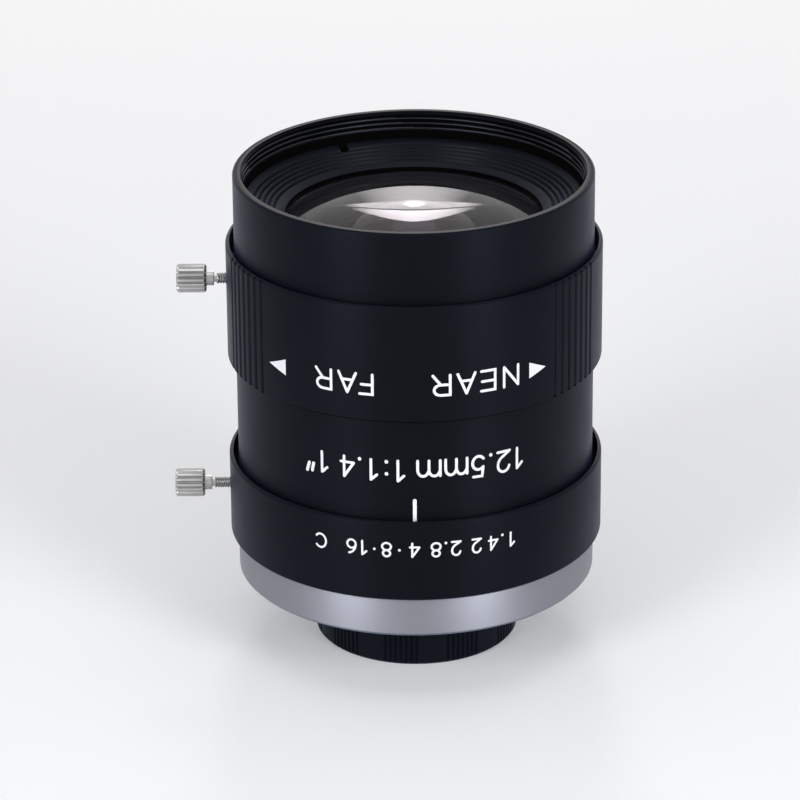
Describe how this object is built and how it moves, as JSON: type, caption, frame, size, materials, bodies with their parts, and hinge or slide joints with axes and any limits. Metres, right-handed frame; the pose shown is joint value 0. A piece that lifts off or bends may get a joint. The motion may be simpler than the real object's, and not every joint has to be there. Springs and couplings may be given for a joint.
{
  "type": "c-mount machine vision lens",
  "caption": "Metal machine vision lens with a C-mount rear, turning focus and aperture rings, knurled lock screws, a working iris, inner glass and a screw-on rear cap.",
  "frame": {"origin": "on the optical axis in the flange plane, where the rear of the lens meets the camera", "axes": "+Z along the optical axis towards the front glass, -X along the two lock screws, -Y towards the engraved front side"},
  "size_m": [0.0615, 0.0536, 0.0706],
  "materials": {
    "black_anodised": "satin black anodised, fine turning marks",
    "inner_black": "dull black anodised",
    "blackened_steel": "thin blackened spring steel",
    "silver_anodised": "satin clear anodised",
    "steel": "bright turned steel",
    "coated_glass": "polished, anti-reflection coated",
    "lock_pad_nylon": "plain nylon",
    "cap_plastic": "moulded black plastic, slightly glossy"
  },
  "bodies": {
    "barrel": {"fixed_barrel": "black_anodised", "mount_ring": "silver_anodised", "mount_screws": "steel"},
    "carriage": {"front_tube": "black_anodised", "focus_keeper_ring": "inner_black", "guide_pins": "steel", "lens_barrel": "inner_black", "front_retaining_ring": "inner_black", "front_element": "coated_glass", "front_spacer_ring": "inner_black", "second_element": "coated_glass", "third_element": "coated_glass", "third_element_ring": "inner_black", "iris_base_plate": "inner_black", "rear_cell": "inner_black", "fourth_element": "coated_glass", "fifth_element": "coated_glass", "rear_spacer_ring": "inner_black", "sixth_element": "coated_glass", "last_spacer_ring": "inner_black", "rear_element": "coated_glass", "rear_retaining_ring": "inner_black"},
    "focus_ring": {"focus_ring": "black_anodised", "focus_stop_screw": "steel"},
    "focus_lock_pad": {"focus_lock_pad": "lock_pad_nylon"},
    "focus_lock_screw": {"focus_lock_screw": "steel"},
    "aperture_ring": {"aperture_ring": "black_anodised", "aperture_drive_screw": "steel"},
    "aperture_lock_pad": {"aperture_lock_pad": "lock_pad_nylon"},
    "aperture_lock_screw": {"aperture_lock_screw": "steel"},
    "iris_cam_ring": {"iris_cam_ring": "inner_black"},
    "iris_blade_1": {"iris_blade_1": "blackened_steel"},
    "iris_blade_2": {"iris_blade_2": "blackened_steel"},
    "iris_blade_3": {"iris_blade_3": "blackened_steel"},
    "iris_blade_4": {"iris_blade_4": "blackened_steel"},
    "iris_blade_5": {"iris_blade_5": "blackened_steel"},
    "iris_blade_6": {"iris_blade_6": "blackened_steel"},
    "rear_cap": {"rear_cap": "cap_plastic"}
  },
  "joints": [
    {"name": "focus_turn", "type": "hinge", "parent": "carriage", "child": "focus_ring", "pos_m": [0, 0, 0.045], "axis": [0, 0, 1], "range_deg": [-72.3, 72.3]},
    {"name": "focus_slide", "type": "slide", "parent": "barrel", "child": "carriage", "axis": [0, 0, 1], "range_m": [-0.0008, 0.0008]},
    {"name": "aperture_turn", "type": "hinge", "parent": "barrel", "child": "aperture_ring", "pos_m": [0, 0, 0.012], "axis": [0, 0, 1], "range_deg": [-27.5, 29]},
    {"name": "iris_cam_turn", "type": "hinge", "parent": "carriage", "child": "iris_cam_ring", "pos_m": [0, 0, 0.0286], "axis": [0, 0, 1], "range_deg": [-27.6, 29.1]},
    {"name": "iris_blade_1_turn", "type": "hinge", "parent": "carriage", "child": "iris_blade_1", "pos_m": [0.0132, 0, 0.0296], "axis": [0, 0, 1], "range_deg": [-15.2, 16.05]},
    {"name": "iris_blade_2_turn", "type": "hinge", "parent": "carriage", "child": "iris_blade_2", "pos_m": [0.0066, 0.01143, 0.0296], "axis": [0, 0, 1], "range_deg": [-15.2, 16.05]},
    {"name": "iris_blade_3_turn", "type": "hinge", "parent": "carriage", "child": "iris_blade_3", "pos_m": [-0.0066, 0.01143, 0.0296], "axis": [0, 0, 1], "range_deg": [-15.2, 16.05]},
    {"name": "iris_blade_4_turn", "type": "hinge", "parent": "carriage", "child": "iris_blade_4", "pos_m": [-0.0132, 0, 0.0296], "axis": [0, 0, 1], "range_deg": [-15.2, 16.05]},
    {"name": "iris_blade_5_turn", "type": "hinge", "parent": "carriage", "child": "iris_blade_5", "pos_m": [-0.0066, -0.01143, 0.0296], "axis": [0, 0, 1], "range_deg": [-15.2, 16.05]},
    {"name": "iris_blade_6_turn", "type": "hinge", "parent": "carriage", "child": "iris_blade_6", "pos_m": [0.0066, -0.01143, 0.0296], "axis": [0, 0, 1], "range_deg": [-15.2, 16.05]},
    {"name": "focus_lock_turn", "type": "hinge", "parent": "focus_lock_pad", "child": "focus_lock_screw", "pos_m": [-0.028, 0, 0.0443], "axis": [-1, 0, 0], "range_deg": [-2, 722]},
    {"name": "focus_lock_travel", "type": "slide", "parent": "focus_ring", "child": "focus_lock_pad", "axis": [-1, 0, 0], "range_m": [0, 0.0007]},
    {"name": "aperture_lock_turn", "type": "hinge", "parent": "aperture_lock_pad", "child": "aperture_lock_screw", "pos_m": [-0.028, 0, 0.0125], "axis": [-1, 0, 0], "range_deg": [-2, 722]},
    {"name": "aperture_lock_travel", "type": "slide", "parent": "aperture_ring", "child": "aperture_lock_pad", "axis": [-1, 0, 0], "range_m": [0, 0.0007]},
    {"name": "rear_cap_off", "type": "slide", "parent": "barrel", "child": "rear_cap", "axis": [0, 0, -1], "range_m": [0, 0.03]}
  ],
  "couplings": [
    {"joint": "focus_turn", "follows": "focus_slide", "rad_per_m": 1570.8},
    {"joint": "iris_cam_turn", "follows": "aperture_turn", "ratio": 1},
    {"joint": "iris_blade_1_turn", "follows": "aperture_turn", "ratio": 0.55},
    {"joint": "iris_blade_2_turn", "follows": "aperture_turn", "ratio": 0.55},
    {"joint": "iris_blade_3_turn", "follows": "aperture_turn", "ratio": 0.55},
    {"joint": "iris_blade_4_turn", "follows": "aperture_turn", "ratio": 0.55},
    {"joint": "iris_blade_5_turn", "follows": "aperture_turn", "ratio": 0.55},
    {"joint": "iris_blade_6_turn", "follows": "aperture_turn", "ratio": 0.55},
    {"joint": "focus_lock_turn", "follows": "focus_lock_travel", "rad_per_m": 17952},
    {"joint": "aperture_lock_turn", "follows": "aperture_lock_travel", "rad_per_m": 17952}
  ]
}
